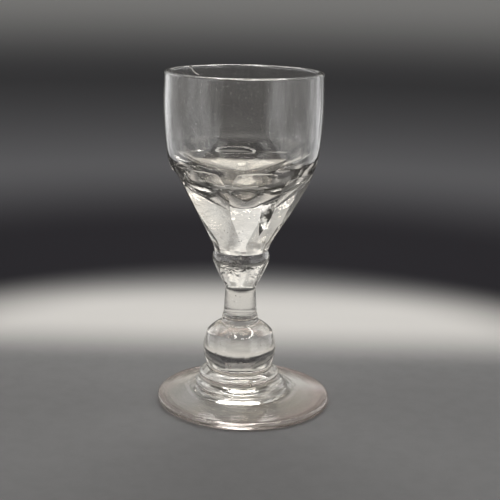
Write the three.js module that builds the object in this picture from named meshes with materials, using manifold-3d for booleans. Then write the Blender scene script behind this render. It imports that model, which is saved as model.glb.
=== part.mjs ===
// Antique port glass, rebuilt as the gathers a glassmaker joins hot: foot, collar, ball knop,
// stem shank, bowl knop and bowl. Millimetres, +Z up, the foot stands on z = 0.
// Each gather meets the next on a flat round seam, so every seam has one radius and one height.

import * as THREE from 'three';
import { mergeVertices } from 'three/addons/utils/BufferGeometryUtils.js';
import Module from 'manifold-3d';

// Heights of the gathers, from the table up.
const FOOT_HEIGHT = 8.8;
const COLLAR_HEIGHT = 5.6;
const BALL_HEIGHT = 17.5;
const SHANK_HEIGHT = 11.5;
const KNOP_HEIGHT = 15.6;
const BOWL_HEIGHT = 66.0;

// Radii of the seams where one gather meets the next.
const FOOT_SEAM_RADIUS = 13.6;
const BALL_SEAM_RADIUS = 12.2;
const SHANK_SEAM_RADIUS = 6.95;
const KNOP_SEAM_RADIUS = 5.72;
const BOWL_SEAM_RADIUS = 10.02;

// Foot: a gently swollen brim, a crease, then a barrel-shaped boss under the collar.
const FOOT_RADIUS = 32.85;
const FOOT_EDGE_THICKNESS = 2.5;
const FOOT_EDGE_ROUNDING = 1.1;
const FOOT_REST_WIDTH = 3.2;
const FOOT_OFF_CENTRE = 2.1;
const CREASE_RADIUS = 21.1;
const CREASE_HEIGHT = 4.35;
const BRIM_BEND_HEIGHT = 3.75;
const CREASE_DISH = 0.35;
const BOSS_RADIUS = 17.2;
const BOSS_WIDEST_HEIGHT = 6.3;
const BOSS_FOOT_HEIGHT = 4.75;
const BOSS_FOOT_SPREAD = 0.9;
const UNDERSIDE_RISE = 1.7;
const PONTIL_RADIUS = 8.5;
const PONTIL_DEPTH = 0.9;

// Collar: a rounded merese with a smaller bead on top of it.
const COLLAR_RADIUS = 15.15;
const COLLAR_WIDEST_HEIGHT = 1.5;
const COLLAR_SHOULDER_HEIGHT = 3.1;
const COLLAR_SHOULDER_RADIUS = 13.5;
const COLLAR_GROOVE_RADIUS = 12.0;
const COLLAR_GROOVE_HEIGHT = 3.75;
const COLLAR_BEAD_RADIUS = 12.4;
const COLLAR_BEAD_HEIGHT = 4.6;

// Ball knop: round below, with an angular, slightly swollen shoulder above.
const BALL_RADIUS = 13.88;
const BALL_WIDEST_HEIGHT = 7.0;
const BALL_LOW_RADIUS = 13.4;
const BALL_LOW_HEIGHT = 3.1;
const BALL_CREASE_RADIUS = 12.4;
const BALL_CREASE_HEIGHT = 12.8;
const BALL_SIDE_BULGE = 0.2;
const BALL_SHOULDER_BULGE = 0.25;
const BALL_NECK_RADIUS = 7.75;
const BALL_NECK_HEIGHT = 16.5;

// Shank: a plain drawn stem, wider at its foot.
const SHANK_RADIUS = 6.3;
const SHANK_FLARE_HEIGHT = 3.4;

// Bowl knop: a rounded knop that sweeps in to the shank.
const KNOP_RADIUS = 10.65;
const KNOP_WIDEST_HEIGHT = 12.2;
const KNOP_TAPER_RADIUS = 8.5;
const KNOP_TAPER_HEIGHT = 6.7;
const KNOP_THROAT_HEIGHT = 1.9;
const KNOP_THROAT_SPREAD = 0.35;

// Bowl outside: a cone that rounds over a shoulder into a nearly straight drum.
const BOWL_FLARE_RADIUS = 12.9;
const BOWL_FLARE_HEIGHT = 6.0;
const BOWL_CONE_RADIUS = 22.1;
const BOWL_CONE_HEIGHT = 21.0;
const BOWL_SHOULDER_RADIUS = 26.5;
const BOWL_SHOULDER_HEIGHT = 31.0;
const BOWL_TURN_RADIUS = 28.25;
const BOWL_TURN_HEIGHT = 38.4;
const BOWL_DRUM_RADIUS = 29.15;
const BOWL_DRUM_HEIGHT = 52.0;
const RIM_RADIUS = 28.9;

// Bowl inside: thin walls above, then a corner and a blunt cone sunk into a thick base.
const RIM_WALL = 2.4;
const DRUM_WALL = 3.0;
const TURN_WALL = 3.3;
const SHOULDER_WALL = 6.2;
const BASE_THICKNESS = 20.4;
const HOLLOW_CORNER_RADIUS = 18.2;
const HOLLOW_CORNER_HEIGHT = 28.3;
const HOLLOW_RADIUS = 15.5;
const HOLLOW_RISE = 6.1;
const HOLLOW_BEND = 3.5;

// Panels: flat cuts around the cone, each with a small ledge at its top.
// They are cut by hand, so each stops at its own height, counted round from the front right.
const PANEL_TOP_HEIGHTS = [32.9, 29.9, 30.4, 30.8, 30.6, 30.9, 30.2, 32.7];
const PANEL_FIRST_DIRECTION = -78.5;
const PANEL_FOOT_APOTHEM = 10.3;
const PANEL_FOOT_HEIGHT = 1.5;
const PANEL_LEAN = 26.9;
const PANEL_LEDGE_SLOPE = 30;

// Smoothness of the round shapes.
const BROAD_SIDES = 64;
const STEM_SIDES = 48;
const SPLINE_STEPS = 2;
const CURVE_STEPS = 4;

const wasm = await Module();
wasm.setup();

const clearGlass = { color: 0xe4e8e6, roughness: 0.04, metalness: 0, transparent: true, opacity: 0.35 };
const warmGlass = { color: 0xe6dfd9, roughness: 0.08, metalness: 0, transparent: true, opacity: 0.35 };

function point(radius, height) {
  return new THREE.Vector2(radius, height);
}

function radians(degrees) {
  return THREE.MathUtils.degToRad(degrees);
}

function revolve(path, steps, sides) {
  const turned = new THREE.LatheGeometry(path.getPoints(steps), sides);
  return turned.rotateX(Math.PI / 2);
}

function namedMesh(name, geometry, height, look) {
  const mesh = new THREE.Mesh(geometry, new THREE.MeshStandardMaterial(look));
  mesh.name = name;
  mesh.position.z = height;
  return mesh;
}

// The foot was spread off the stem's axis, so its rings drift sideways toward the table.
function leanFoot(geometry) {
  const places = geometry.attributes.position;
  for (let i = 0; i < places.count; i += 1) {
    const drift = FOOT_OFF_CENTRE * (1 - places.getZ(i) / FOOT_HEIGHT);
    places.setX(i, places.getX(i) + drift);
  }
  geometry.computeVertexNormals();
  return geometry;
}

function footGeometry() {
  const restOuter = FOOT_RADIUS - FOOT_EDGE_ROUNDING;
  const restInner = restOuter - FOOT_REST_WIDTH;
  const edgeMiddle = FOOT_EDGE_THICKNESS / 2;
  const bossFoot = BOSS_RADIUS + BOSS_FOOT_SPREAD;
  const dishHeight = CREASE_HEIGHT - CREASE_DISH;
  const path = new THREE.Path();
  path.moveTo(0, UNDERSIDE_RISE + PONTIL_DEPTH);
  path.quadraticCurveTo(PONTIL_RADIUS / 2, UNDERSIDE_RISE + PONTIL_DEPTH, PONTIL_RADIUS, UNDERSIDE_RISE);
  path.quadraticCurveTo((PONTIL_RADIUS + restInner) / 2, UNDERSIDE_RISE, restInner, 0);
  path.lineTo(restOuter, 0);
  path.quadraticCurveTo(FOOT_RADIUS, 0, FOOT_RADIUS, edgeMiddle);
  path.quadraticCurveTo(FOOT_RADIUS, FOOT_EDGE_THICKNESS, restOuter, FOOT_EDGE_THICKNESS);
  path.quadraticCurveTo((restOuter + CREASE_RADIUS) / 2, BRIM_BEND_HEIGHT, CREASE_RADIUS, CREASE_HEIGHT);
  path.quadraticCurveTo((CREASE_RADIUS + bossFoot) / 2, dishHeight, bossFoot, BOSS_FOOT_HEIGHT);
  path.quadraticCurveTo(BOSS_RADIUS, BOSS_FOOT_HEIGHT, BOSS_RADIUS, BOSS_WIDEST_HEIGHT);
  path.quadraticCurveTo(BOSS_RADIUS, FOOT_HEIGHT, FOOT_SEAM_RADIUS, FOOT_HEIGHT);
  path.lineTo(0, FOOT_HEIGHT);
  return leanFoot(revolve(path, CURVE_STEPS, BROAD_SIDES));
}

function collarGeometry() {
  const shoulder = point(COLLAR_SHOULDER_RADIUS, COLLAR_SHOULDER_HEIGHT);
  const path = new THREE.Path();
  path.moveTo(0, 0);
  path.lineTo(FOOT_SEAM_RADIUS, 0);
  path.quadraticCurveTo(COLLAR_RADIUS, 0, COLLAR_RADIUS, COLLAR_WIDEST_HEIGHT);
  path.quadraticCurveTo(COLLAR_RADIUS, shoulder.y, shoulder.x, shoulder.y);
  path.lineTo(COLLAR_GROOVE_RADIUS, COLLAR_GROOVE_HEIGHT);
  path.quadraticCurveTo(COLLAR_BEAD_RADIUS, COLLAR_GROOVE_HEIGHT, COLLAR_BEAD_RADIUS, COLLAR_BEAD_HEIGHT);
  path.quadraticCurveTo(COLLAR_BEAD_RADIUS, COLLAR_HEIGHT, BALL_SEAM_RADIUS, COLLAR_HEIGHT);
  path.lineTo(0, COLLAR_HEIGHT);
  return revolve(path, CURVE_STEPS, STEM_SIDES);
}

function ballGeometry() {
  const sideRadius = (BALL_RADIUS + BALL_CREASE_RADIUS) / 2 + BALL_SIDE_BULGE;
  const crease = point(BALL_CREASE_RADIUS, BALL_CREASE_HEIGHT);
  const neck = point(BALL_NECK_RADIUS, BALL_NECK_HEIGHT);
  const outward = point(neck.y - crease.y, crease.x - neck.x).setLength(2 * BALL_SHOULDER_BULGE);
  const bend = neck.clone().add(crease).divideScalar(2).add(outward);
  const path = new THREE.Path();
  path.moveTo(0, 0);
  path.lineTo(BALL_SEAM_RADIUS, 0);
  path.splineThru([
    point(BALL_LOW_RADIUS, BALL_LOW_HEIGHT),
    point(BALL_RADIUS, BALL_WIDEST_HEIGHT),
    point(sideRadius, (BALL_WIDEST_HEIGHT + BALL_CREASE_HEIGHT) / 2),
    crease,
  ]);
  path.quadraticCurveTo(bend.x, bend.y, neck.x, neck.y);
  path.quadraticCurveTo(SHANK_SEAM_RADIUS, BALL_NECK_HEIGHT, SHANK_SEAM_RADIUS, BALL_HEIGHT);
  path.lineTo(0, BALL_HEIGHT);
  return revolve(path, SPLINE_STEPS, STEM_SIDES);
}

function shankGeometry() {
  const path = new THREE.Path();
  path.moveTo(0, 0);
  path.lineTo(SHANK_SEAM_RADIUS, 0);
  path.quadraticCurveTo(SHANK_RADIUS, SHANK_FLARE_HEIGHT / 2, SHANK_RADIUS, SHANK_FLARE_HEIGHT);
  path.lineTo(KNOP_SEAM_RADIUS, SHANK_HEIGHT);
  path.lineTo(0, SHANK_HEIGHT);
  return revolve(path, CURVE_STEPS, STEM_SIDES);
}

function bowlKnopGeometry() {
  const path = new THREE.Path();
  path.moveTo(0, 0);
  path.lineTo(KNOP_SEAM_RADIUS, 0);
  path.splineThru([
    point(KNOP_SEAM_RADIUS + KNOP_THROAT_SPREAD, KNOP_THROAT_HEIGHT),
    point(KNOP_TAPER_RADIUS, KNOP_TAPER_HEIGHT),
    point(KNOP_RADIUS, KNOP_WIDEST_HEIGHT),
    point(BOWL_SEAM_RADIUS, KNOP_HEIGHT),
  ]);
  path.lineTo(0, KNOP_HEIGHT);
  return revolve(path, SPLINE_STEPS, STEM_SIDES);
}

function uncutBowl() {
  const rimRounding = RIM_WALL / 2;
  const path = new THREE.Path();
  path.moveTo(0, 0);
  path.lineTo(BOWL_SEAM_RADIUS, 0);
  path.splineThru([
    point(BOWL_FLARE_RADIUS, BOWL_FLARE_HEIGHT),
    point(BOWL_CONE_RADIUS, BOWL_CONE_HEIGHT),
    point(BOWL_SHOULDER_RADIUS, BOWL_SHOULDER_HEIGHT),
    point(BOWL_TURN_RADIUS, BOWL_TURN_HEIGHT),
    point(BOWL_DRUM_RADIUS, BOWL_DRUM_HEIGHT),
    point(RIM_RADIUS, BOWL_HEIGHT - rimRounding),
  ]);
  path.quadraticCurveTo(RIM_RADIUS, BOWL_HEIGHT, RIM_RADIUS - rimRounding, BOWL_HEIGHT);
  path.quadraticCurveTo(RIM_RADIUS - RIM_WALL, BOWL_HEIGHT, RIM_RADIUS - RIM_WALL, BOWL_HEIGHT - rimRounding);
  path.splineThru([
    point(BOWL_DRUM_RADIUS - DRUM_WALL, BOWL_DRUM_HEIGHT),
    point(BOWL_TURN_RADIUS - TURN_WALL, BOWL_TURN_HEIGHT),
    point(BOWL_SHOULDER_RADIUS - SHOULDER_WALL, BOWL_SHOULDER_HEIGHT),
    point(HOLLOW_CORNER_RADIUS, HOLLOW_CORNER_HEIGHT),
    point(HOLLOW_RADIUS, BASE_THICKNESS + HOLLOW_RISE),
  ]);
  path.quadraticCurveTo(HOLLOW_BEND, BASE_THICKNESS, 0, BASE_THICKNESS);
  return revolve(path, SPLINE_STEPS, BROAD_SIDES);
}

function toSolid(geometry) {
  geometry.deleteAttribute('normal');
  geometry.deleteAttribute('uv');
  const merged = mergeVertices(geometry);
  const corners = Array.from(merged.index.array);
  const triangles = [];
  for (let i = 0; i < corners.length; i += 3) {
    const [a, b, c] = corners.slice(i, i + 3);
    if (a !== b && b !== c && c !== a) triangles.push(a, b, c);
  }
  return new wasm.Manifold(new wasm.Mesh({
    numProp: 3,
    vertProperties: Float32Array.from(merged.attributes.position.array),
    triVerts: Uint32Array.from(triangles),
  }));
}

function toGeometry(solid) {
  const mesh = solid.getMesh();
  const geometry = new THREE.BufferGeometry();
  geometry.setAttribute('position', new THREE.BufferAttribute(mesh.vertProperties, mesh.numProp));
  geometry.setIndex(new THREE.BufferAttribute(mesh.triVerts, 1));
  geometry.computeVertexNormals();
  return geometry;
}

// One panel's cutter: a bar across the bowl whose inner face is the flat of the panel.
function panelCutter(topHeight, index) {
  const rise = topHeight - PANEL_FOOT_HEIGHT;
  const topApothem = PANEL_FOOT_APOTHEM + rise * Math.tan(radians(PANEL_LEAN));
  const reach = BOWL_DRUM_RADIUS;
  const section = new THREE.Shape([
    point(PANEL_FOOT_APOTHEM, PANEL_FOOT_HEIGHT),
    point(topApothem + reach, PANEL_FOOT_HEIGHT),
    point(topApothem + reach, topHeight + reach * Math.tan(radians(PANEL_LEDGE_SLOPE))),
    point(topApothem, topHeight),
  ]);
  const bar = new THREE.ExtrudeGeometry(section, { depth: 2 * reach, bevelEnabled: false });
  bar.translate(0, 0, -reach);
  bar.rotateX(Math.PI / 2);
  bar.rotateZ(radians(PANEL_FIRST_DIRECTION) + (2 * Math.PI * index) / PANEL_TOP_HEIGHTS.length);
  return toSolid(bar);
}

function bowlGeometry() {
  const cutters = PANEL_TOP_HEIGHTS.map(panelCutter);
  return toGeometry(cutters.reduce((bowl, cutter) => bowl.subtract(cutter), toSolid(uncutBowl())));
}

const collarBase = FOOT_HEIGHT;
const ballBase = collarBase + COLLAR_HEIGHT;
const shankBase = ballBase + BALL_HEIGHT;
const knopBase = shankBase + SHANK_HEIGHT;
const bowlBase = knopBase + KNOP_HEIGHT;

const glass = new THREE.Group();
glass.add(
  namedMesh('foot', footGeometry(), 0, warmGlass),
  namedMesh('foot_collar', collarGeometry(), collarBase, clearGlass),
  namedMesh('ball_knop', ballGeometry(), ballBase, clearGlass),
  namedMesh('stem_shank', shankGeometry(), shankBase, clearGlass),
  namedMesh('bowl_knop', bowlKnopGeometry(), knopBase, clearGlass),
  namedMesh('bowl', bowlGeometry(), bowlBase, clearGlass),
);

// The origin sits under the middle of the foot, which is the widest piece.
glass.position.x = -new THREE.Box3().setFromObject(glass).getCenter(new THREE.Vector3()).x;

export default glass;
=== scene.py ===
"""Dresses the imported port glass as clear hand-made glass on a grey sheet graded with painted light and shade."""

import math
import random

import bpy
from mathutils import Matrix, Vector


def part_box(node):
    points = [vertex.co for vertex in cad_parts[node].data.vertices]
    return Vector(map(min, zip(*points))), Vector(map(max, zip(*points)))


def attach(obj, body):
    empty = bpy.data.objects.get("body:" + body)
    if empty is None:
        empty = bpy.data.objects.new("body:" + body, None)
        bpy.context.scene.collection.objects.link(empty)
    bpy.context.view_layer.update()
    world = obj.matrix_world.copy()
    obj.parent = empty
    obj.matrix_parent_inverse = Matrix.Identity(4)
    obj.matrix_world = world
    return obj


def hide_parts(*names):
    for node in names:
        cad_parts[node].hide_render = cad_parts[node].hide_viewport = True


bl_info = {
    "name": "Port glass",
    "version": (1, 0, 0),
    "blender": (4, 5, 0),
    "location": "View3D > Sidebar > Port glass",
    "description": "Builds a cut port glass from its gathers, with its stage and lights",
    "category": "Object",
}

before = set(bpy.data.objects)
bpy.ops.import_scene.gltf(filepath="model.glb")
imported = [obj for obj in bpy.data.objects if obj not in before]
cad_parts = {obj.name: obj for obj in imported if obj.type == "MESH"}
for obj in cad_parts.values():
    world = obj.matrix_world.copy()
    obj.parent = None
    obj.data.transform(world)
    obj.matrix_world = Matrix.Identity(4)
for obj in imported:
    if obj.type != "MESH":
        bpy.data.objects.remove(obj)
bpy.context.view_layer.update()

MM = 0.001
FRAME_BOX = {name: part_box(name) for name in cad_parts}


def middle_x(name):
    low, high = FRAME_BOX[name]
    return (low[0] + high[0]) / 2


def half_width(name):
    low, high = FRAME_BOX[name]
    return (high[1] - low[1]) / 2


STEM_X = middle_x("bowl")
FOOT_TOP = FRAME_BOX["foot"][1][2]
COLLAR_TOP = FRAME_BOX["foot_collar"][1][2]
BALL_TOP = FRAME_BOX["ball_knop"][1][2]
SHANK_TOP = FRAME_BOX["stem_shank"][1][2]
KNOP_TOP = FRAME_BOX["bowl_knop"][1][2]
RIM_TOP = FRAME_BOX["bowl"][1][2]

# The seams between gathers, as the frame has them.
SEAM_RADII = {
    "foot": 13.6 * MM,
    "ball": 12.2 * MM,
    "shank": 6.95 * MM,
    "knop": 5.72 * MM,
    "bowl": 10.02 * MM,
}


def length(label, text, millimetres):
    """A length property with its default in millimetres."""
    return bpy.props.FloatProperty(
        name=label, description=text, default=millimetres * MM, unit="LENGTH", subtype="DISTANCE", precision=5
    )


def angle(label, text, degrees):
    """An angle property with its default in degrees."""
    return bpy.props.FloatProperty(
        name=label, description=text, default=math.radians(degrees), unit="ROTATION", subtype="ANGLE"
    )


def colour(label, text, rgb):
    """A colour property."""
    return bpy.props.FloatVectorProperty(
        name=label, description=text, default=rgb, size=3, min=0, max=1, subtype="COLOR"
    )


def share(label, text, value):
    """A plain number from 0 to 1."""
    return bpy.props.FloatProperty(name=label, description=text, default=value, min=0, max=1, subtype="FACTOR")


class PortGlassBowl(bpy.types.PropertyGroup):
    """Sizes of the bowl, heights from its seam with the knop."""

    flare_radius: length("Flare radius", "Radius low on the cone", 12.9)
    flare_height: length("Flare height", "Height of the flare radius", 6.0)
    cone_radius: length("Cone radius", "Radius of the uncut cone", 22.1)
    cone_height: length("Cone height", "Height of the cone radius", 21.0)
    shoulder_radius: length("Shoulder radius", "Radius where the panels end", 26.5)
    shoulder_height: length("Shoulder height", "Height of the shoulder", 31.0)
    turn_radius: length("Turn radius", "Radius where the side turns upright", 28.25)
    turn_height: length("Turn height", "Height of that turn", 38.4)
    drum_radius: length("Drum radius", "Widest radius of the bowl", 29.15)
    drum_height: length("Drum height", "Height of the widest radius", 52.0)
    rim_radius: length("Rim radius", "Outer radius at the rim", 28.9)
    rim_wall: length("Rim wall", "Thickness of the rim", 2.4)
    drum_wall: length("Drum wall", "Wall at the widest radius", 3.0)
    turn_wall: length("Turn wall", "Wall where the side turns upright", 3.3)
    shoulder_wall: length("Shoulder wall", "Wall at the shoulder", 6.2)
    corner_radius: length("Hollow corner radius", "Radius where the hollow's side turns in", 18.2)
    corner_height: length("Hollow corner height", "Height of that turn", 28.3)
    base_thickness: length("Base thickness", "Solid glass under the hollow", 20.4)
    hollow_radius: length("Hollow radius", "Radius at the top of the hollow's blunt cone", 15.5)
    hollow_rise: length("Hollow rise", "Height of that radius over the hollow's bottom", 6.1)
    hollow_bend: length("Hollow bend", "Radius where the sides' slope would meet the hollow's bottom", 3.5)
    panel_foot_apothem: length("Panel foot", "Distance of a panel's foot from the axis", 10.3)
    panel_foot_height: length("Panel foot height", "Height of a panel's foot", 1.5)
    panel_lean: angle("Panel lean", "Lean of a panel from upright", 26.9)
    panel_direction: angle("First panel", "Direction that the first panel faces", -78.5)
    ledge_slope: angle("Ledge slope", "Slope of the ledge over a panel", 30)
    edge_softness: length("Edge softness", "Width of the polished edge round a panel", 0.24)


class PortGlassStem(bpy.types.PropertyGroup):
    """Sizes of the knop, shank, ball and collar, heights from each piece's own base."""

    knop_radius: length("Knop radius", "Widest radius of the bowl knop", 10.65)
    knop_widest: length("Knop widest", "Height of that radius", 12.2)
    knop_taper_radius: length("Knop taper radius", "Radius half way down the knop's taper", 8.5)
    knop_taper_height: length("Knop taper height", "Height of that radius", 6.7)
    knop_throat_height: length("Knop throat", "Height of the throat over the shank", 1.9)
    knop_throat_spread: length("Knop throat spread", "How far the throat opens", 0.35)
    shank_radius: length("Shank radius", "Radius of the shank over its flare", 6.3)
    shank_flare_height: length("Shank flare", "Height of the flare at the shank's foot", 3.4)
    ball_radius: length("Ball radius", "Widest radius of the ball knop", 13.88)
    ball_widest: length("Ball widest", "Height of that radius", 7.0)
    ball_low_radius: length("Ball low radius", "Radius low on the ball", 13.4)
    ball_low_height: length("Ball low height", "Height of that radius", 3.1)
    ball_crease_radius: length("Ball crease radius", "Radius of the shoulder's crease", 12.4)
    ball_crease_height: length("Ball crease height", "Height of the crease", 12.8)
    ball_side_bulge: length("Ball side bulge", "Swell of the side under the crease", 0.2)
    ball_shoulder_bulge: length("Ball shoulder bulge", "Swell of the shoulder over the crease", 0.25)
    ball_neck_radius: length("Ball neck radius", "Radius at the top of the shoulder", 7.75)
    ball_neck_height: length("Ball neck height", "Height of the top of the shoulder", 16.5)
    collar_radius: length("Collar radius", "Widest radius of the collar", 15.15)
    collar_widest: length("Collar widest", "Height of that radius", 1.5)
    collar_shoulder_radius: length("Collar shoulder radius", "Radius of the collar's shoulder", 13.5)
    collar_shoulder_height: length("Collar shoulder height", "Height of the collar's shoulder", 3.1)
    collar_groove_radius: length("Collar groove radius", "Radius of the groove under the bead", 12.0)
    collar_groove_height: length("Collar groove height", "Height of the groove", 3.75)
    collar_bead_radius: length("Collar bead radius", "Radius of the bead on the collar", 12.4)
    collar_bead_height: length("Collar bead height", "Height of the bead's widest ring", 4.6)


class PortGlassFoot(bpy.types.PropertyGroup):
    """Sizes of the foot, heights from the table."""

    edge_thickness: length("Edge thickness", "Thickness of the foot's edge", 2.5)
    edge_rounding: length("Edge rounding", "Rounding of the foot's edge", 1.1)
    rest_width: length("Rest width", "Width of the ring that rests on the table", 3.2)
    off_centre: length("Off centre", "Sideways drift of the foot from the stem's axis", 2.1)
    crease_radius: length("Crease radius", "Radius of the crease on the foot", 21.1)
    crease_height: length("Crease height", "Height of the crease", 4.35)
    brim_bend_height: length("Brim bend", "Height toward which the brim swells between edge and crease", 3.75)
    crease_dish: length("Crease dish", "Dip between crease and boss", 0.35)
    boss_radius: length("Boss radius", "Widest radius of the boss", 17.2)
    boss_widest: length("Boss widest", "Height of that radius", 6.3)
    boss_foot_height: length("Boss foot height", "Height where the boss meets the brim", 4.75)
    boss_foot_spread: length("Boss foot spread", "How far the boss spreads at its foot", 0.9)
    underside_rise: length("Underside rise", "Height of the hollow under the foot", 1.7)
    pontil_radius: length("Pontil radius", "Radius of the ground hollow in the middle", 8.5)
    pontil_depth: length("Pontil depth", "Depth of the ground hollow", 0.9)


class PortGlassLook(bpy.types.PropertyGroup):
    """Colours and finish of the glass."""

    clear: colour("Clear glass", "Tint of the bowl and stem", (0.985, 0.977, 0.955))
    cream: colour("Cream glass", "Warmer streaks in the thick glass", (0.96, 0.905, 0.82))
    edge: colour("Foot edge", "Warm tint where the foot is seen edge on", (0.99, 0.87, 0.82))
    refraction: bpy.props.FloatProperty(
        name="Refraction", description="Index of refraction of the glass", default=1.52, min=1.3, max=1.9
    )
    haze: share("Haze", "Roughness of wiped and worn places", 0.09)
    bowl_film: share("Bowl film", "Share of light that the dusty bowl and stem scatter", 0.03)
    foot_film: share("Foot film", "Share of light that the worn foot scatters", 0.08)


class PortGlassStage(bpy.types.PropertyGroup):
    """The table, the lights and the camera."""

    table: colour("Table", "Colour of the sheet under the glass", (0.2, 0.2, 0.204))
    # Painted light: the pale band is a pool of light painted into the sheet's colour behind the glass.
    band: colour("Pale band", "Colour of the pale band across the sheet behind the glass", (0.63, 0.617, 0.603))
    # Painted shade: the sheet beyond the pale band is painted near black.
    shade: colour("Shade", "Colour of the sheet beyond the pale band", (0.024, 0.023, 0.027))
    backdrop: colour("Backdrop", "Colour of the sheet far behind", (0.125, 0.125, 0.134))
    top: colour("Top of the backdrop", "Colour where the sheet's far end turns up", (0.6, 0.6, 0.6))
    camera_distance: length("Camera distance", "How far the camera stands in front of the stem", 403)
    camera_height: length("Camera height", "Height of the camera over the table", 161.7)
    camera_side: length("Camera side", "How far right of the stem the camera stands", 3.25)
    camera_lens: bpy.props.FloatProperty(
        name="Lens", description="Focal length in millimetres", default=80.06, min=10, max=300
    )
    camera_pitch: angle("Camera pitch", "How far down the camera looks", 14.34)
    camera_roll: angle("Camera roll", "How far the camera is rolled", 1.2)


# The cut panels end at their own heights, counted round from the front right, over the bowl's seam.
PANEL_TOPS = [32.9, 29.9, 30.4, 30.8, 30.6, 30.9, 30.2, 32.7]

# The studio's light is a little warm.
WARM_LIGHT = (1.0, 0.985, 0.95)

BOWL_SIDES = 192
STEM_SIDES = 144
FOOT_SIDES = 192
CURVE_STEP = 0.75 * MM

# Points closer than this are merged, and a face this close to a seam and this level lies on it.
MERGE_DISTANCE = 0.001 * MM
SEAM_TOLERANCE = 0.01 * MM
LEVEL_NORMAL = 0.99

# Edges sharper than this stay sharp, in degrees: the cut bowl keeps more of them.
BOWL_SMOOTHING = 12
GATHER_SMOOTHING = 25

# The foot's edge stays this far inside the frame's.
FOOT_CLEARANCE = 0.003 * MM

# Tiny bubbles as (count, seed, radii, heights, sizes), lengths in millimetres.
DRUM_SEEDS = (34, 5, (27.2, 28.1), (97, 121), (0.3, 0.55))
BASE_SEEDS = (7, 8, (1, 8), (64, 76), (0.3, 0.5))
SHANK_SEEDS = (3, 2, (1, 4.5), (33, 42))
BALL_SEEDS = (6, 3, (3, 11), (17, 26))
FOOT_SEEDS = (9, 11, (3, 15.5), (3.4, 7.0))

# Damage at the rim as (radius, degrees round from the front, height over the rim), in millimetres.
CRACK_TOP = (27.5, 229.6, -0.9)
CRACK_FOOT = (27.2, 220.6, -4.2)
CRACK_SAG = 0.7 * MM
CRACK_WIDTH = 0.55 * MM
NOTCH = (27.7, 229.5, 0.25)
NICK = (26.9, 183, 0.3)

# Heights and radii between which the look of the glass changes. Tools leave no waves in the hollow.
WALL_THINS = (80 * MM, 96 * MM)
HOLLOW_SIDE = (18 * MM, 21 * MM)
HOLLOW_BOTTOM = (79 * MM, 82 * MM)
WIPED_DRUM = (94 * MM, 104 * MM)
EDGE_TINT_FROM = 24 * MM
WORN_BRIM = (18 * MM, 27 * MM)
WAVE_DEPTHS = {"bowl": 0.13 * MM, "stem": 0.22 * MM, "foot": 0.13 * MM}

# The sheet, in metres: how far it lies flat, the radius of its turned-up end, and how far it lies
# under the glass. Its tones change between these distances behind the glass, round it, and up the end:
# a pool of light painted as a pale band, painted shade beyond it, a dim grey backdrop and a lighter top.
SWEEP_FLAT = 1.2
SWEEP_BEND = 0.35
SWEEP_SIDES = 96
SHEET_DROP = 0.15 * MM
PAINTED_LIGHT_BAND_STARTS = (0.035, 0.095)
PAINTED_LIGHT_BAND_ENDS = (0.11, 0.19)
PAINTED_SHADE_STARTS = (0.13, 0.21)
BACKDROP_STARTS = (0.28, 0.55)
TOP_STARTS = (0.0, 0.12)

# The lamps as (name, size, place, power), all turned to the same point on the glass.
LAMP_AIM = (0, 0, 0.06)
LAMPS = (
    ("left softbox", (0.22, 0.26), (-0.36, 0.0, 0.72), 0.7),
    ("right softbox", (0.22, 0.26), (0.50, 0.08, 0.66), 0.7),
    ("back softbox", (0.44, 0.25), (0.0, 0.36, 0.56), 2.0),
    ("left wall", (0.80, 0.70), (-0.80, 0.05, 0.56), 1.6),
    ("right wall", (0.80, 0.70), (0.80, 0.05, 0.56), 1.6),
)
CARD_SIZE = (0.50, 0.24)
CARD_DISTANCE = 0.24
CARD_HEIGHT = 0.12
CARD_STRENGTH = 2.8
RING_RADIUS = 0.157
RING_THICKNESS = 0.010
RING_PLACE = (0.05, -0.02, 0.42)
RING_STRENGTH = 24.0


class Outline:
    """Half of a turned piece's outline as (radius, height), from the axis round to the axis."""

    def __init__(self, radius, height):
        self.points = [Vector((radius, height))]

    def line(self, radius, height):
        self.points.append(Vector((radius, height)))
        return self

    def curve(self, bend_radius, bend_height, radius, height):
        """A quadratic curve to the end point, drawn toward the bend."""
        start, bend, end = self.points[-1], Vector((bend_radius, bend_height)), Vector((radius, height))
        steps = max(6, round(((bend - start).length + (end - bend).length) / CURVE_STEP))
        for i in range(1, steps + 1):
            t = i / steps
            self.points.append((1 - t) ** 2 * start + 2 * t * (1 - t) * bend + t * t * end)
        return self

    def through(self, *stations):
        """A smooth curve through the stations, as a uniform Catmull-Rom spline."""
        knots = [self.points[-1], *(Vector(s) for s in stations)]
        for i in range(len(knots) - 1):
            a, b, c, d = knots[max(i - 1, 0)], knots[i], knots[i + 1], knots[min(i + 2, len(knots) - 1)]
            steps = max(4, round((c - b).length / CURVE_STEP))
            for k in range(1, steps + 1):
                t = k / steps
                tangent_b, tangent_c = (c - a) / 2, (d - b) / 2
                self.points.append(
                    (2 * b - 2 * c + tangent_b + tangent_c) * t ** 3
                    + (3 * c - 3 * b - 2 * tangent_b - tangent_c) * t ** 2
                    + tangent_b * t
                    + b
                )
        return self


def deselect():
    if bpy.context.mode != "OBJECT":
        bpy.ops.object.mode_set(mode="OBJECT")
    bpy.ops.object.select_all(action="DESELECT")


def only(piece):
    deselect()
    piece.select_set(True)
    bpy.context.view_layer.objects.active = piece


def turn_faces_in():
    """Turns every face of the active mesh inwards."""
    bpy.ops.object.mode_set(mode="EDIT")
    bpy.ops.mesh.select_all(action="SELECT")
    bpy.ops.mesh.normals_make_consistent(inside=True)
    bpy.ops.object.mode_set(mode="OBJECT")


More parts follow.
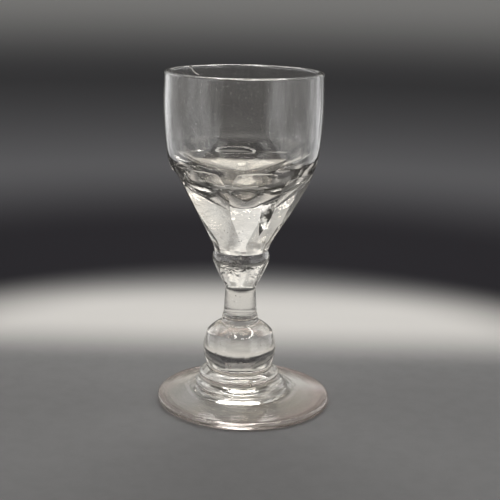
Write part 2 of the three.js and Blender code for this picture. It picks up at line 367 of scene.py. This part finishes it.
def turn(name, outline, base, sides, axis_x=STEM_X):
    """Spins an outline round an upright axis, from the height base, and closes it where it meets the axis."""
    deselect()
    bpy.ops.mesh.primitive_plane_add(size=MM)
    piece = bpy.context.active_object
    piece.name = piece.data.name = name
    bpy.ops.object.mode_set(mode="EDIT")
    bpy.ops.mesh.merge(type="CENTER")
    start = outline.points[0]
    bpy.ops.transform.translate(value=(axis_x + start.x, 0, base + start.y))
    for here, there in zip(outline.points, outline.points[1:]):
        step = there - here
        bpy.ops.mesh.extrude_vertices_move(TRANSFORM_OT_translate={"value": (step.x, 0, step.y)})
    bpy.ops.mesh.select_all(action="SELECT")
    bpy.ops.mesh.spin(steps=sides, angle=math.tau, center=(axis_x, 0, 0), axis=(0, 0, 1))
    bpy.ops.mesh.select_all(action="SELECT")
    bpy.ops.mesh.remove_doubles(threshold=MERGE_DISTANCE)
    bpy.ops.mesh.normals_make_consistent(inside=False)
    bpy.ops.object.mode_set(mode="OBJECT")
    return piece


def apply_modifiers(piece):
    only(piece)
    for modifier in list(piece.modifiers):
        bpy.ops.object.modifier_apply(modifier=modifier.name)


def cut_away(piece, other):
    """Takes the other solid out of the piece, and deletes the other."""
    only(piece)
    bpy.ops.object.modifier_add(type="BOOLEAN")
    cut = piece.modifiers[-1]
    cut.operation = "DIFFERENCE"
    cut.solver = "EXACT"
    cut.object = other
    bpy.ops.object.modifier_apply(modifier=cut.name)
    only(other)
    bpy.ops.object.delete()


def leave_hollow(piece):
    """Makes the selected closed meshes hollows inside the piece."""
    bpy.ops.object.transform_apply(location=True, rotation=True, scale=True)
    turn_faces_in()
    piece.select_set(True)
    bpy.context.view_layer.objects.active = piece
    bpy.ops.object.join()


def add_bubbles(piece, bubbles):
    """Leaves gas bubbles in the glass, small closed hollows with their faces turned in.

    Each bubble is its place, length, width, lean and heading.
    """
    hollows = []
    for place, length, width, lean, heading in bubbles:
        deselect()
        bpy.ops.mesh.primitive_uv_sphere_add(
            segments=16, ring_count=10, radius=0.5, location=place, rotation=(0, lean, heading),
            scale=(width, width, length),
        )
        hollows.append(bpy.context.active_object)
    deselect()
    for hollow in hollows:
        hollow.select_set(True)
    bpy.context.view_layer.objects.active = hollows[0]
    bpy.ops.object.join()
    leave_hollow(piece)


def add_crack(piece, start, end, sag, width):
    """Leaves a thin crescent-shaped crack inside the wall, bowed down by sag between its ends."""
    long = (end - start).length
    deselect()
    bpy.ops.mesh.primitive_uv_sphere_add(segments=12, ring_count=32, radius=0.5, scale=(width, width, long))
    hollow = bpy.context.active_object
    bpy.ops.object.modifier_add(type="SIMPLE_DEFORM")
    bend = hollow.modifiers[-1]
    bend.deform_method = "BEND"
    bend.deform_axis = "X"
    # A shallow arc turns through eight times its sag over its length, and minus bows it down.
    bend.angle = -8 * sag / long
    apply_modifiers(hollow)
    along = (end - start).normalized()
    flat = along.cross(Vector((0, 0, 1))).normalized()
    turned = Matrix((flat, along.cross(flat), along)).transposed().to_4x4()
    hollow.matrix_world = Matrix.Translation((start + end) / 2) @ turned
    bpy.ops.object.shade_smooth()
    hollow.data.materials.append(crack_material())
    leave_hollow(piece)


def flake(piece, place, radius, scale=(1, 1, 1), rotation=(0, 0, 0)):
    """Chips a shallow scar out of the piece where a ball at place bites into it."""
    deselect()
    bpy.ops.mesh.primitive_uv_sphere_add(
        segments=48, ring_count=24, radius=radius, location=place, rotation=rotation, scale=scale
    )
    cut_away(piece, bpy.context.active_object)


def round_the_stem(radius, degrees, height):
    """A point at a radius and height, in degrees round from the camera's side toward the right."""
    way = math.radians(degrees)
    return Vector((STEM_X + radius * math.sin(way), -radius * math.cos(way), height))


def at_the_rim(radius, degrees, over):
    """A point near the rim, sizes in millimetres, its height counted from the rim's top."""
    return round_the_stem(radius * MM, degrees, RIM_TOP + over * MM)


def seeds(count, seed, radii, heights, sizes=(0.16, 0.34)):
    """Tiny bubbles at random between two radii and two heights, all in millimetres."""
    pick = random.Random(seed)
    found = []
    for _ in range(count):
        place = round_the_stem(pick.uniform(*radii) * MM, pick.uniform(0, 360), pick.uniform(*heights) * MM)
        width = pick.uniform(*sizes) * MM
        found.append((place, width * pick.uniform(1.0, 1.9), width, pick.uniform(-0.6, 0.6), pick.uniform(0, 3)))
    return found


def seed_at(radius, degrees, height, length, width, lean=0.0, heading=0.0):
    """One bubble, sizes in millimetres."""
    return round_the_stem(radius * MM, degrees, height * MM), length * MM, width * MM, lean, heading


def finish_glass(piece, node, smooth_degrees, seams, look):
    """Gives a gather its materials, its smooth shading and its place in the frame."""
    only(piece)
    bpy.ops.object.transform_apply(location=True, rotation=True, scale=True)
    piece.data.materials.append(glass_material(look))
    piece.data.materials.append(seam_material())
    for face in piece.data.polygons:
        on_seam = any(abs(face.center.z - height) < SEAM_TOLERANCE for height in seams)
        if on_seam and abs(face.normal.z) > LEVEL_NORMAL:
            face.material_index = 1
    bpy.ops.object.shade_smooth_by_angle(angle=math.radians(smooth_degrees))
    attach(piece, "root")
    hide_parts(node)


class Value:
    """A socket's value in a material, on which ordinary sums can be written."""

    def __init__(self, paint, socket):
        self.paint = paint
        self.socket = socket

    def _math(self, operation, *others):
        return self.paint.node("ShaderNodeMath", {"operation": operation}, self, *others)

    def __add__(self, other):
        return self._math("ADD", other)

    def __radd__(self, other):
        return self._math("ADD", other)

    def __sub__(self, other):
        return self._math("SUBTRACT", other)

    def __rsub__(self, other):
        return self.paint.node("ShaderNodeMath", {"operation": "SUBTRACT"}, other, self)

    def __mul__(self, other):
        return self._math("MULTIPLY", other)

    def __rmul__(self, other):
        return self._math("MULTIPLY", other)

    def vector(self, scale=420.0):
        """A line in space that follows the value, to draw rings with a noise."""
        return self.paint.node("ShaderNodeCombineXYZ", None, self * scale, 0.0, 0.0)

    def step(self, low, high):
        """0 under low, 1 over high, smooth between."""
        return self.paint.node(
            "ShaderNodeMapRange", {"interpolation_type": "SMOOTHSTEP"},
            **{"Value": self, "From Min": low, "From Max": high, "To Min": 0.0, "To Max": 1.0},
        )


class Paint:
    """Adds nodes to one material or world."""

    def __init__(self, tree):
        self.tree = tree
        tree.nodes.clear()

    def node(self, kind, settings=None, *values, out=0, **named):
        """Adds a node: settings first, then sockets in order or by name. Returns an output."""
        made = self.tree.nodes.new(kind)
        for key, value in (settings or {}).items():
            setattr(made, key, value)
        for index, value in enumerate(values):
            self._plug(made.inputs[index], value)
        for key, value in named.items():
            self._plug(made.inputs[key], value)
        return Value(self, made.outputs[out]) if made.outputs else None

    def _plug(self, socket, value):
        if isinstance(value, Value):
            self.tree.links.new(value.socket, socket)
        elif value is not None:
            socket.default_value = value

    def mix(self, factor, a, b):
        """Mixes two colours by a factor."""
        made = self.tree.nodes.new("ShaderNodeMix")
        made.data_type = "RGBA"
        for socket, value in zip((made.inputs[0], made.inputs[6], made.inputs[7]), (factor, a, b)):
            self._plug(socket, value)
        return Value(self, made.outputs[2])

    def place(self):
        """Object coordinates, the same as the frame's."""
        return self.node("ShaderNodeTexCoord", out=3)

    def noise(self, place, scale, detail=3.0, rough=0.5, stretch=(1, 1, 1), twist=0.0):
        spot = self.node("ShaderNodeMapping", None, **{"Vector": place, "Scale": stretch})
        return self.node(
            "ShaderNodeTexNoise", None,
            **{"Vector": spot, "Scale": scale, "Detail": detail, "Roughness": rough, "Distortion": twist},
        )

    def radius_and_height(self, place, centre_x):
        """Distance from an upright axis, and height, in metres."""
        moved = self.node("ShaderNodeMapping", None, **{"Vector": place, "Location": (-centre_x, 0, 0)})
        flat = self.node("ShaderNodeVectorMath", {"operation": "MULTIPLY"}, moved, (1, 1, 0))
        radius = self.node("ShaderNodeVectorMath", {"operation": "LENGTH"}, flat, out=1)
        height = self.node("ShaderNodeSeparateXYZ", None, place, out=2)
        return radius, height


def rgba(rgb):
    return (*rgb, 1.0)


def new_material(name):
    material = bpy.data.materials.new(name)
    material.use_nodes = True
    return material


def glass_material(kind):
    """Clear hand-made glass: faint tint, wiped haze, and the slow waves that tools leave in it."""
    name = f"{kind} glass"
    if name in bpy.data.materials:
        return bpy.data.materials[name]
    look = bpy.context.scene.port_glass_look
    material = new_material(name)
    paint = Paint(material.node_tree)
    place = paint.place()
    radius, height = paint.radius_and_height(place, STEM_X)

    cloud = paint.noise(place, 38, detail=2)
    thick = 1 - height.step(*WALL_THINS) * 0.8
    tint = paint.mix(cloud.step(0.3, 0.7) * thick, rgba(look.clear), rgba(look.cream))
    smear = paint.noise(place, 70, detail=4, rough=0.6, stretch=(1, 1, 0.3))
    dust = paint.noise(place, 1500, detail=1, rough=0.4).step(0.74, 0.8)
    haze = smear.step(0.42, 0.72) * look.haze
    waves = paint.noise(place, 75, detail=1.5) * 0.8
    rings = paint.noise(place, 60, detail=2, stretch=(0.25, 0.25, 2.2)) * 0.5
    if kind == "bowl":
        calm = 1 - (1 - radius.step(*HOLLOW_SIDE)) * height.step(*HOLLOW_BOTTOM)
        haze = haze * (height.step(*WIPED_DRUM) * 1.6 + 0.25) + dust * 0.5
        surface = (waves + rings + paint.noise(place, 150, detail=2, twist=1.2) * thick * 0.9) * calm
    elif kind == "stem":
        haze = haze * 0.25 + dust * 0.4
        swirl = paint.noise(place, 120, detail=2, twist=1.6)
        knop = height.step(SHANK_TOP + 3 * MM, SHANK_TOP + 9 * MM)
        surface = waves * 1.5 + rings + swirl * (0.6 + knop * 2.4)
    else:
        tint = paint.mix(radius.step(EDGE_TINT_FROM, half_width("foot")), tint, rgba(look.edge))
        brim = radius.step(*WORN_BRIM)
        rubs = paint.noise(place, 900, detail=2, rough=0.7).step(0.56, 0.7)
        haze = haze * 0.5 + rubs * brim * look.haze + dust * 0.4
        marks = paint.noise(radius.vector(), 1, detail=3)
        surface = waves * 0.8 + marks * brim
    bump = paint.node("ShaderNodeBump", None, **{"Strength": 1.0, "Distance": WAVE_DEPTHS[kind], "Height": surface})
    shader = paint.node(
        "ShaderNodeBsdfPrincipled",
        None,
        **{
            "Base Color": tint,
            "Roughness": haze,
            "Transmission Weight": 1 - (look.foot_film if kind == "foot" else look.bowl_film),
            "IOR": look.refraction,
            "Normal": bump,
        },
    )
    paint.node("ShaderNodeOutputMaterial", None, shader)
    return material


def seam_material():
    """The unseen face between two gathers that were fused hot."""
    name = "fused seam"
    if name in bpy.data.materials:
        return bpy.data.materials[name]
    material = new_material(name)
    paint = Paint(material.node_tree)
    shader = paint.node("ShaderNodeBsdfPrincipled", None, **{"Alpha": 0.0})
    paint.node("ShaderNodeOutputMaterial", None, shader)
    return material


def crack_material():
    """The broken face inside a crack, which catches the light."""
    name = "crack face"
    if name in bpy.data.materials:
        return bpy.data.materials[name]
    material = new_material(name)
    paint = Paint(material.node_tree)
    grain = paint.noise(paint.place(), 2400, detail=2).step(0.3, 0.7)
    shade = paint.mix(grain, (0.86, 0.86, 0.84, 1.0), (0.98, 0.98, 0.95, 1.0))
    shader = paint.node(
        "ShaderNodeBsdfPrincipled", None,
        **{"Base Color": shade, "Roughness": grain * 0.2 + 0.25, "Transmission Weight": 0.3, "IOR": 1.52},
    )
    paint.node("ShaderNodeOutputMaterial", None, shader)
    return material


def bowl_outline(sizes):
    rise = RIM_TOP - KNOP_TOP
    lip = sizes.rim_wall / 2
    outline = Outline(0, 0).line(SEAM_RADII["bowl"], 0)
    outline.through(
        (sizes.flare_radius, sizes.flare_height),
        (sizes.cone_radius, sizes.cone_height),
        (sizes.shoulder_radius, sizes.shoulder_height),
        (sizes.turn_radius, sizes.turn_height),
        (sizes.drum_radius, sizes.drum_height),
        (sizes.rim_radius, rise - lip),
    )
    inner = sizes.rim_radius - sizes.rim_wall
    outline.curve(sizes.rim_radius, rise, sizes.rim_radius - lip, rise)
    outline.curve(inner, rise, inner, rise - lip)
    outline.through(
        (sizes.drum_radius - sizes.drum_wall, sizes.drum_height),
        (sizes.turn_radius - sizes.turn_wall, sizes.turn_height),
        (sizes.shoulder_radius - sizes.shoulder_wall, sizes.shoulder_height),
        (sizes.corner_radius, sizes.corner_height),
        (sizes.hollow_radius, sizes.base_thickness + sizes.hollow_rise),
    )
    outline.curve(sizes.hollow_bend, sizes.base_thickness, 0, sizes.base_thickness)
    return outline


def panel_cutter(sizes, top, heading):
    """A block whose inner face is a panel, trimmed to the panel's ledge and foot."""
    out = Vector((math.cos(heading), math.sin(heading), 0))
    up = Vector((0, 0, 1))
    axis = Vector((STEM_X, 0, KNOP_TOP))
    foot = axis + out * sizes.panel_foot_apothem + up * sizes.panel_foot_height
    facing = out * math.cos(sizes.panel_lean) - up * math.sin(sizes.panel_lean)
    block = 4 * sizes.drum_radius
    deselect()
    bpy.ops.mesh.primitive_cube_add(
        size=block, location=foot + facing * (block / 2), rotation=(0, sizes.panel_lean, heading), scale=(1, 0.3, 1)
    )
    cutter = bpy.context.active_object
    bpy.ops.object.transform_apply(location=True, rotation=True, scale=True)
    rise = top - sizes.panel_foot_height
    ledge = foot + out * (rise * math.tan(sizes.panel_lean)) + up * rise
    over_ledge = up * math.cos(sizes.ledge_slope) - out * math.sin(sizes.ledge_slope)
    bpy.ops.object.mode_set(mode="EDIT")
    bpy.ops.mesh.select_all(action="SELECT")
    bpy.ops.mesh.bisect(plane_co=ledge, plane_no=over_ledge, use_fill=True, clear_outer=True)
    bpy.ops.mesh.select_all(action="SELECT")
    bpy.ops.mesh.bisect(plane_co=foot, plane_no=up, use_fill=True, clear_inner=True)
    bpy.ops.mesh.select_all(action="SELECT")
    bpy.ops.mesh.normals_make_consistent(inside=False)
    bpy.ops.object.mode_set(mode="OBJECT")
    return cutter


class PORTGLASS_OT_bowl(bpy.types.Operator):
    """Make the bowl with its cut panels"""

    bl_idname = "port_glass.bowl"
    bl_label = "Bowl"

    def execute(self, context):
        sizes = context.scene.port_glass_bowl
        bowl = turn("bowl_glass", bowl_outline(sizes), KNOP_TOP, BOWL_SIDES)
        blocks = [
            panel_cutter(sizes, top * MM, sizes.panel_direction + index * math.tau / len(PANEL_TOPS))
            for index, top in enumerate(PANEL_TOPS)
        ]
        for block in blocks:
            cut_away(bowl, block)
        soften_panel_edges(bowl, sizes.edge_softness)
        chip_rim(bowl)
        add_bubbles(bowl, seeds(*DRUM_SEEDS) + seeds(*BASE_SEEDS))
        finish_glass(bowl, "bowl", BOWL_SMOOTHING, (KNOP_TOP,), "bowl")
        add_crack(bowl, at_the_rim(*CRACK_TOP), at_the_rim(*CRACK_FOOT), CRACK_SAG, CRACK_WIDTH)
        return {"FINISHED"}


def chip_rim(bowl):
    """Leaves the long notch over the crack, at the far left of the rim, and a small nick at its back."""
    flake(bowl, at_the_rim(*NOTCH), 1.0 * MM, (2.3, 0.9, 1.35), (0, 0, 2.43))
    flake(bowl, at_the_rim(*NICK), 0.8 * MM)


def soften_panel_edges(bowl, width):
    """Rounds the sharp edges that the cuts left, as polishing does."""
    only(bowl)
    bpy.ops.object.modifier_add(type="BEVEL")
    bevel = bowl.modifiers[-1]
    bevel.width = width
    bevel.segments = 2
    bevel.limit_method = "ANGLE"
    bevel.angle_limit = math.radians(9)
    bpy.ops.object.modifier_apply(modifier=bevel.name)


class PORTGLASS_OT_bowl_knop(bpy.types.Operator):
    """Make the small knop under the bowl"""

    bl_idname = "port_glass.bowl_knop"
    bl_label = "Bowl knop"

    def execute(self, context):
        sizes = context.scene.port_glass_stem
        outline = Outline(0, 0).line(SEAM_RADII["knop"], 0)
        outline.through(
            (SEAM_RADII["knop"] + sizes.knop_throat_spread, sizes.knop_throat_height),
            (sizes.knop_taper_radius, sizes.knop_taper_height),
            (sizes.knop_radius, sizes.knop_widest),
            (SEAM_RADII["bowl"], KNOP_TOP - SHANK_TOP),
        )
        outline.line(0, KNOP_TOP - SHANK_TOP)
        knop = turn("bowl_knop_glass", outline, SHANK_TOP, STEM_SIDES)
        finish_glass(knop, "bowl_knop", GATHER_SMOOTHING, (SHANK_TOP, KNOP_TOP), "stem")
        return {"FINISHED"}


class PORTGLASS_OT_shank(bpy.types.Operator):
    """Make the plain shank"""

    bl_idname = "port_glass.shank"
    bl_label = "Shank"

    def execute(self, context):
        sizes = context.scene.port_glass_stem
        flare = sizes.shank_flare_height
        outline = Outline(0, 0).line(SEAM_RADII["shank"], 0)
        outline.curve(sizes.shank_radius + 0.45 * MM, flare * 0.2, sizes.shank_radius + 0.45 * MM, flare * 0.34)
        outline.line(sizes.shank_radius + 0.2 * MM, flare * 0.4)
        outline.curve(sizes.shank_radius + 0.3 * MM, flare * 0.62, sizes.shank_radius + 0.1 * MM, flare * 0.74)
        outline.curve(sizes.shank_radius, flare * 0.85, sizes.shank_radius, flare)
        outline.line(SEAM_RADII["knop"], SHANK_TOP - BALL_TOP).line(0, SHANK_TOP - BALL_TOP)
        shank = turn("stem_shank_glass", outline, BALL_TOP, STEM_SIDES)
        add_bubbles(shank, [seed_at(5.3, -18, 42.3, 0.6, 0.4), *seeds(*SHANK_SEEDS)])
        finish_glass(shank, "stem_shank", GATHER_SMOOTHING, (BALL_TOP, SHANK_TOP), "stem")
        return {"FINISHED"}


class PORTGLASS_OT_ball(bpy.types.Operator):
    """Make the ball knop"""

    bl_idname = "port_glass.ball"
    bl_label = "Ball knop"

    def execute(self, context):
        sizes = context.scene.port_glass_stem
        side = (sizes.ball_radius + sizes.ball_crease_radius) / 2 + sizes.ball_side_bulge
        outline = Outline(0, 0).line(SEAM_RADII["ball"], 0)
        outline.through(
            (sizes.ball_low_radius, sizes.ball_low_height),
            (sizes.ball_radius, sizes.ball_widest),
            (side, (sizes.ball_widest + sizes.ball_crease_height) / 2),
            (sizes.ball_crease_radius, sizes.ball_crease_height),
        )
        shoulder = Vector((sizes.ball_neck_radius, sizes.ball_neck_height))
        crease = outline.points[-1]
        swell = (shoulder - crease).orthogonal().normalized() * 2 * sizes.ball_shoulder_bulge
        bend = (shoulder + crease) / 2 + (swell if swell.x > 0 else -swell)
        outline.curve(bend.x, bend.y, shoulder.x, shoulder.y)
        outline.curve(SEAM_RADII["shank"], sizes.ball_neck_height, SEAM_RADII["shank"], BALL_TOP - COLLAR_TOP)
        outline.line(0, BALL_TOP - COLLAR_TOP)
        ball = turn("ball_knop_glass", outline, COLLAR_TOP, STEM_SIDES)
        add_bubbles(ball, [
            seed_at(13.1, -40, 21.3, 0.6, 0.5),
            seed_at(12.7, -49, 17.9, 1.5, 0.42, 0.35),
            seed_at(12.6, -46, 17.0, 0.6, 0.45),
            *seeds(*BALL_SEEDS),
        ])
        finish_glass(ball, "ball_knop", GATHER_SMOOTHING, (COLLAR_TOP, BALL_TOP), "stem")
        return {"FINISHED"}


class PORTGLASS_OT_collar(bpy.types.Operator):
    """Make the stepped collar"""

    bl_idname = "port_glass.collar"
    bl_label = "Collar"

    def execute(self, context):
        sizes = context.scene.port_glass_stem
        top = COLLAR_TOP - FOOT_TOP
        bead = sizes.collar_bead_radius
        outline = Outline(0, 0).line(SEAM_RADII["foot"], 0)
        outline.curve(sizes.collar_radius, 0, sizes.collar_radius, sizes.collar_widest)
        outline.curve(
            sizes.collar_radius, sizes.collar_shoulder_height,
            sizes.collar_shoulder_radius, sizes.collar_shoulder_height,
        )
        outline.line(sizes.collar_groove_radius, sizes.collar_groove_height)
        outline.curve(bead, sizes.collar_groove_height, bead, sizes.collar_bead_height)
        outline.curve(bead, top, SEAM_RADII["ball"], top).line(0, top)
        collar = turn("foot_collar_glass", outline, FOOT_TOP, STEM_SIDES)
        add_bubbles(collar, [
            seed_at(14.2, 17.5, 10.6, 2.3, 1.3, -0.25, 0.3),
            seed_at(14.0, 22.5, 11.0, 1.2, 0.6, 0.3),
        ])
        finish_glass(collar, "foot_collar", GATHER_SMOOTHING, (FOOT_TOP, COLLAR_TOP), "stem")
        return {"FINISHED"}


class PORTGLASS_OT_foot(bpy.types.Operator):
    """Make the foot with its boss, crease and brim"""

    bl_idname = "port_glass.foot"
    bl_label = "Foot"

    def execute(self, context):
        sizes = context.scene.port_glass_foot
        radius = half_width("foot") - FOOT_CLEARANCE
        edge = sizes.edge_thickness
        rest_outer = radius - sizes.edge_rounding
        rest_inner = rest_outer - sizes.rest_width
        boss_foot = sizes.boss_radius + sizes.boss_foot_spread
        dish = sizes.crease_height - sizes.crease_dish
        deepest = sizes.underside_rise + sizes.pontil_depth
        outline = Outline(0, deepest)
        outline.curve(sizes.pontil_radius / 2, deepest, sizes.pontil_radius, sizes.underside_rise)
        outline.curve((sizes.pontil_radius + rest_inner) / 2, sizes.underside_rise, rest_inner, 0)
        outline.line(rest_outer, 0)
        outline.curve(radius, 0, radius, edge / 2)
        outline.curve(radius, edge, rest_outer, edge)
        outline.curve(
            (rest_outer + sizes.crease_radius) / 2, sizes.brim_bend_height, sizes.crease_radius, sizes.crease_height
        )
        outline.curve((sizes.crease_radius + boss_foot) / 2, dish, boss_foot, sizes.boss_foot_height)
        outline.curve(sizes.boss_radius, sizes.boss_foot_height, sizes.boss_radius, sizes.boss_widest)
        outline.curve(sizes.boss_radius, FOOT_TOP, SEAM_RADII["foot"], FOOT_TOP)
        outline.line(0, FOOT_TOP)
        foot = turn("foot_glass", outline, 0, FOOT_SIDES)
        add_bubbles(foot, seeds(*FOOT_SEEDS))
        lean_foot(foot, sizes.off_centre)
        finish_glass(foot, "foot", GATHER_SMOOTHING, (FOOT_TOP,), "foot")
        return {"FINISHED"}


def lean_foot(foot, drift):
    """Shifts the foot sideways, most at the table and not at all at its top, with a lattice."""
    width = 3 * half_width("foot")
    deselect()
    bpy.ops.object.add(type="LATTICE", location=(STEM_X, 0, FOOT_TOP / 2))
    cage = bpy.context.active_object
    cage.scale = (width, width, FOOT_TOP)
    shape = cage.data
    shape.points_u = shape.points_v = shape.points_w = 2
    shape.interpolation_type_u = shape.interpolation_type_v = shape.interpolation_type_w = "KEY_LINEAR"
    for corner in shape.points:
        if corner.co.z < 0:
            corner.co_deform.x += drift / width
    only(foot)
    bpy.ops.object.modifier_add(type="LATTICE")
    foot.modifiers[-1].object = cage
    apply_modifiers(foot)
    only(cage)
    bpy.ops.object.delete()


class PORTGLASS_OT_stage(bpy.types.Operator):
    """Make the table, the lights and the camera"""

    bl_idname = "port_glass.stage"
    bl_label = "Stage"

    def execute(self, context):
        look = context.scene.port_glass_stage
        make_table(look)
        make_lights()
        make_world(context.scene)
        make_camera(context.scene, look)
        context.scene.view_settings.view_transform = "Standard"
        return {"FINISHED"}


def make_table(look):
    """A round sheet that turns up at its far end, with a pool of light painted as a pale band across it behind the
    glass, and painted shade beyond the band.
    """
    sweep = Outline(0, 0)
    sweep.points += [Vector((r / 100, 0)) for r in range(4, 121, 4)]
    sweep.points += [
        Vector((
            SWEEP_FLAT + SWEEP_BEND * math.sin(math.radians(a)),
            SWEEP_BEND - SWEEP_BEND * math.cos(math.radians(a)),
        ))
        for a in range(4, 65, 4)
    ]
    table = turn("table_sweep", sweep, -SHEET_DROP, SWEEP_SIDES, axis_x=0)
    turn_faces_in()
    bpy.ops.object.shade_smooth()
    material = new_material("graded sheet")
    paint = Paint(material.node_tree)
    place = paint.place()
    grain = paint.noise(place, 140, detail=6, rough=0.6)
    distance, height = paint.radius_and_height(place, 0)
    near = paint.mix(grain.step(0.35, 0.7), rgba(look.table), rgba([c * 0.95 for c in look.table]))
    behind = paint.node("ShaderNodeSeparateXYZ", None, place, out=1)
    # Painted light: a pool of light painted as a pale band across the sheet behind the glass.
    with_painted_light_band = paint.mix(behind.step(*PAINTED_LIGHT_BAND_STARTS) * (1 - behind.step(*PAINTED_LIGHT_BAND_ENDS)), near, rgba(look.band))
    # Painted shade: further than the band from the glass, all round it, the sheet is painted near black.
    with_painted_shade = paint.mix(distance.step(*PAINTED_SHADE_STARTS), with_painted_light_band, rgba(look.shade))
    faded = paint.mix(distance.step(*BACKDROP_STARTS), with_painted_shade, rgba(look.backdrop))
    sheet = paint.mix(height.step(*TOP_STARTS), faded, rgba(look.top))
    shader = paint.node(
        "ShaderNodeBsdfPrincipled", None, **{"Base Color": sheet, "Roughness": 0.8, "Specular IOR Level": 0.0}
    )
    paint.node("ShaderNodeOutputMaterial", None, shader)
    table.data.materials.append(material)


def soft_panel(name, size, place, aim, strength):
    """A glowing panel that faces aim."""
    deselect()
    bpy.ops.object.light_add(type="AREA", location=place)
    panel = bpy.context.active_object
    panel.name = name
    panel.data.shape = "RECTANGLE"
    panel.data.size, panel.data.size_y = size
    panel.data.energy = strength
    panel.data.color = WARM_LIGHT
    panel.rotation_euler = (Vector(aim) - Vector(place)).to_track_quat("-Z", "Y").to_euler()
    panel.visible_camera = False


def make_lights():
    """The lamps, and what the glass reflects at its sides and from over it."""
    for name, size, place, power in LAMPS:
        soft_panel(name, size, place, LAMP_AIM, power)
    for side in (-1, 1):
        place = (side * CARD_DISTANCE, 0, CARD_HEIGHT)
        glow_card("side_card", CARD_SIZE, place, (0, 0, CARD_HEIGHT), CARD_STRENGTH)
    ring_light()


def glow_card(name, size, place, aim, strength):
    """A white card with soft edges that shows only as a reflection on the glass."""
    deselect()
    turned = (Vector(aim) - Vector(place)).to_track_quat("-Z", "Y").to_euler()
    bpy.ops.mesh.primitive_plane_add(size=1, location=place, rotation=turned, scale=(*size, 1))
    card = bpy.context.active_object
    card.name = name
    card.visible_camera = card.visible_diffuse = card.visible_transmission = card.visible_shadow = False
    material = new_material("white card")
    paint = Paint(material.node_tree)
    spot = paint.node("ShaderNodeTexCoord", out=2)
    across = paint.node("ShaderNodeSeparateXYZ", None, spot, out=0)
    up = paint.node("ShaderNodeSeparateXYZ", None, spot, out=1)
    soft = (across * (1 - across) * 4).step(0.0, 0.7) * (up * (1 - up) * 4).step(0.0, 0.6)
    cloud = paint.noise(spot, 5, detail=4, rough=0.6).step(0.36, 0.64) * 0.8 + 0.25
    glow = paint.node("ShaderNodeEmission", None, (1, 1, 1, 1), soft * cloud * strength)
    paint.node("ShaderNodeOutputMaterial", None, glow)
    card.data.materials.append(material)


def ring_light():
    """The round lamp over the glass, which shows in the glass and doesn't light the sheet."""
    deselect()
    bpy.ops.mesh.primitive_torus_add(
        major_radius=RING_RADIUS, minor_radius=RING_THICKNESS, major_segments=96, minor_segments=12,
        location=RING_PLACE,
    )
    ring = bpy.context.active_object
    ring.name = "ring_lamp"
    ring.visible_camera = ring.visible_diffuse = False
    material = new_material("ring lamp glow")
    paint = Paint(material.node_tree)
    glow = paint.node("ShaderNodeEmission", None, rgba(WARM_LIGHT), RING_STRENGTH)
    paint.node("ShaderNodeOutputMaterial", None, glow)
    ring.data.materials.append(material)


def make_world(scene):
    """A dark horizon, a band of light over it, and a dim ceiling, brighter to the sides."""
    world = scene.world or bpy.data.worlds.new("studio")
    scene.world = world
    world.use_nodes = True
    paint = Paint(world.node_tree)
    way = paint.node("ShaderNodeTexCoord", out=0)
    sideways = paint.node("ShaderNodeSeparateXYZ", None, way, out=0)
    upward = paint.node("ShaderNodeSeparateXYZ", None, way, out=2)
    # The band is cut by a dark gap half way round to each side, and clouded so that it isn't even.
    side = sideways * sideways
    gap = side.step(0.3, 0.5) * (1 - side.step(0.72, 0.85))
    band = upward.step(0.12, 0.27) * (1 - upward.step(0.5, 0.9)) * (1 - gap * 0.95)
    cloud = paint.noise(way, 3.5, detail=1).step(0.35, 0.65) * 0.8 + 0.6
    glow = band * cloud * (0.9 - upward.step(0.27, 0.40) * 0.4) + upward.step(0.0, 0.5) * 0.07 + 0.02
    background = paint.node("ShaderNodeBackground", None, rgba(WARM_LIGHT), glow)
    paint.node("ShaderNodeOutputWorld", None, background)


def make_camera(scene, look):
    deselect()
    place = (STEM_X + look.camera_side, -look.camera_distance, look.camera_height)
    bpy.ops.object.camera_add(location=place)
    camera = bpy.context.active_object
    camera.data.lens = look.camera_lens
    camera.data.sensor_width = 36
    camera.data.clip_start = 0.01
    turned = Matrix.Rotation(math.pi / 2 - look.camera_pitch, 4, "X") @ Matrix.Rotation(look.camera_roll, 4, "Z")
    camera.matrix_world = Matrix.Translation(place) @ turned
    scene.camera = camera


class PORTGLASS_PT_panel(bpy.types.Panel):
    """Lists the pieces of the port glass"""

    bl_label = "Port glass"
    bl_idname = "PORTGLASS_PT_panel"
    bl_space_type = "VIEW_3D"
    bl_region_type = "UI"
    bl_category = "Port glass"

    def draw(self, context):
        for operator in OPERATORS:
            self.layout.operator(operator.bl_idname)


OPERATORS = (
    PORTGLASS_OT_foot,
    PORTGLASS_OT_collar,
    PORTGLASS_OT_ball,
    PORTGLASS_OT_shank,
    PORTGLASS_OT_bowl_knop,
    PORTGLASS_OT_bowl,
    PORTGLASS_OT_stage,
)
GROUPS = {
    "port_glass_bowl": PortGlassBowl,
    "port_glass_stem": PortGlassStem,
    "port_glass_foot": PortGlassFoot,
    "port_glass_look": PortGlassLook,
    "port_glass_stage": PortGlassStage,
}


def register():
    for name, group in GROUPS.items():
        bpy.utils.register_class(group)
        setattr(bpy.types.Scene, name, bpy.props.PointerProperty(type=group))
    for operator in OPERATORS:
        bpy.utils.register_class(operator)
    bpy.utils.register_class(PORTGLASS_PT_panel)


def unregister():
    bpy.utils.unregister_class(PORTGLASS_PT_panel)
    for operator in reversed(OPERATORS):
        bpy.utils.unregister_class(operator)
    for name, group in reversed(GROUPS.items()):
        delattr(bpy.types.Scene, name)
        bpy.utils.unregister_class(group)


def main():
    register()
    for operator in OPERATORS:
        group, action = operator.bl_idname.split(".")
        getattr(getattr(bpy.ops, group), action)()


if __name__ == "__main__":
    main()
